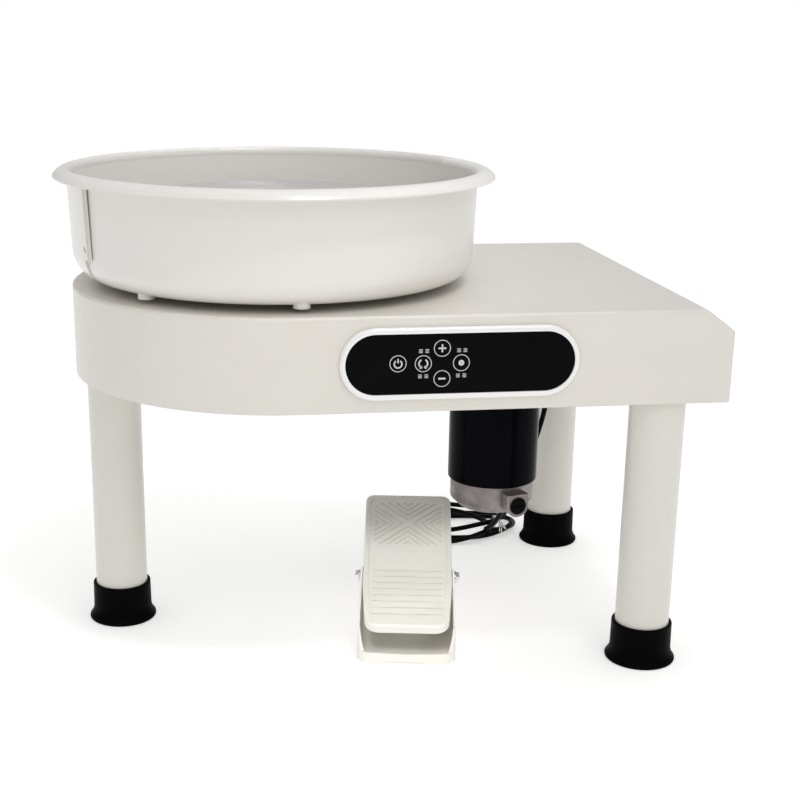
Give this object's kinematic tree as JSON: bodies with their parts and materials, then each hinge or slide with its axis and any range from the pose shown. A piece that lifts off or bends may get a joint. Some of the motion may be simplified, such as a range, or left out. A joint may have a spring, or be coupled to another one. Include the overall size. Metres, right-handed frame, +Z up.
{
  "type": "pottery wheel",
  "caption": "Electric pottery wheel: D-shaped table on legs, split splash basin, belt-driven wheel head, under-slung motor and corded foot pedal.",
  "frame": {"origin": "centre of the object's box on the floor, measured without the pedal cord", "axes": "+X along the table from the wheel to the square end, -Y is the control panel's side, +Z up"},
  "size_m": [0.59, 0.478, 0.4465],
  "materials": {
    "housing_enamel": "satin ivory powder coat",
    "zinc_plate": "zinc plated",
    "foot_rubber": "semi-gloss moulded rubber",
    "bearing_steel": "ground",
    "cast_iron": "as cast, machined faces",
    "head_aluminium": "turned",
    "belt_rubber": "matte",
    "motor_enamel": "gloss black",
    "cast_aluminium": "die cast",
    "black_moulding": "semi-matte",
    "carbon": "matte carbon",
    "ferrite": "matte ferrite",
    "armature_steel": "laminated, varnished",
    "bezel_plastic": "gloss",
    "panel_black": "gloss black, printed marks",
    "circuit_board": "solder mask",
    "basin_plastic": "gloss ivory ABS",
    "pedal_plastic": "satin ivory ABS",
    "pivot_chrome": "bright",
    "gear_plastic": "natural acetal",
    "pot_metal": "nickel plated",
    "cord_black": "satin PVC",
    "tie_wire": "bright wire"
  },
  "bodies": {
    "frame": {"housing_shell": "housing_enamel", "base_plate": "zinc_plate", "base_plate_screws": "zinc_plate", "leg_bolts": "zinc_plate", "leg_left": "housing_enamel", "leg_front_right": "housing_enamel", "leg_rear_right": "housing_enamel", "foot_left": "foot_rubber", "foot_front_right": "foot_rubber", "foot_rear_right": "foot_rubber", "bearing_housing": "cast_iron", "bearing_upper": "bearing_steel", "bearing_lower": "bearing_steel", "spindle_seal": "foot_rubber", "bearing_housing_bolts": "zinc_plate", "basin_seat_ring": "foot_rubber", "drive_belt": "belt_rubber", "motor_can": "motor_enamel", "motor_drive_bell": "cast_aluminium", "motor_end_bell": "cast_aluminium", "motor_brush_caps": "black_moulding", "motor_brushes": "carbon", "motor_magnets": "ferrite", "motor_bearings": "bearing_steel", "motor_mount_screws": "zinc_plate", "panel_bezel": "bezel_plastic", "panel_glass": "panel_black", "control_board": "circuit_board", "control_board_standoffs": "zinc_plate", "driver_board": "circuit_board", "driver_board_standoffs": "zinc_plate", "mains_inlet": "black_moulding", "mains_inlet_pins": "zinc_plate", "cord_boot": "black_moulding", "pedal_cord_drop": "cord_black", "pedal_cord_coil": "cord_black", "pedal_cord_tie": "tie_wire", "pedal_cord_lead": "cord_black", "pedal_cord_gland": "black_moulding", "pedal_base": "pedal_plastic", "pedal_pads": "foot_rubber", "pedal_pivot_rod": "pivot_chrome", "pedal_pivot_nuts": "pivot_chrome", "pedal_pivot_washers": "pivot_chrome", "pedal_potentiometer": "pot_metal"},
    "turning_wheel": {"wheel_head": "head_aluminium", "wheel_head_screws": "zinc_plate", "spindle": "bearing_steel", "driven_pulley": "head_aluminium", "driven_pulley_collar": "bearing_steel"},
    "motor_rotor": {"motor_shaft": "bearing_steel", "motor_armature": "armature_steel", "drive_pulley": "head_aluminium"},
    "treadle": {"pedal_treadle": "pedal_plastic", "pedal_sector_gear": "gear_plastic"},
    "speed_pinion": {"pedal_pot_pinion": "gear_plastic", "pedal_pot_shaft": "pot_metal"},
    "basin_front": {"basin_front_half": "basin_plastic"},
    "basin_rear": {"basin_rear_half": "basin_plastic"},
    "plug": {"drain_plug": "foot_rubber"}
  },
  "joints": [
    {"name": "wheel_spin", "type": "hinge", "parent": "frame", "child": "turning_wheel", "pos_m": [-0.09, 0, 0.4], "axis": [0, 0, 1], "continuous": true},
    {"name": "motor_spin", "type": "hinge", "parent": "frame", "child": "motor_rotor", "pos_m": [0.129, 0, 0.2], "axis": [0, 0, 1], "continuous": true},
    {"name": "treadle_tilt", "type": "hinge", "parent": "frame", "child": "treadle", "pos_m": [0.0276, -0.0838, 0.061], "axis": [-0.9836, 0.1805, 0], "range_deg": [0, 16]},
    {"name": "pinion_turn", "type": "hinge", "parent": "frame", "child": "speed_pinion", "pos_m": [0.03007, -0.07034, 0.02341], "axis": [-0.9836, 0.1805, 0], "range_deg": [-64, 0]},
    {"name": "basin_front_pull", "type": "slide", "parent": "frame", "child": "basin_front", "axis": [0.3746, -0.9272, 0], "range_m": [0, 0.13]},
    {"name": "basin_rear_pull", "type": "slide", "parent": "frame", "child": "basin_rear", "axis": [-0.3746, 0.9272, 0], "range_m": [0, 0.13]},
    {"name": "drain_plug_pull", "type": "slide", "parent": "basin_front", "child": "plug", "axis": [0, 0, 1], "range_m": [0, 0.03]}
  ],
  "couplings": [
    {"joint": "motor_spin", "follows": "wheel_spin", "ratio": 5.65},
    {"joint": "pinion_turn", "follows": "treadle_tilt", "ratio": -4}
  ]
}
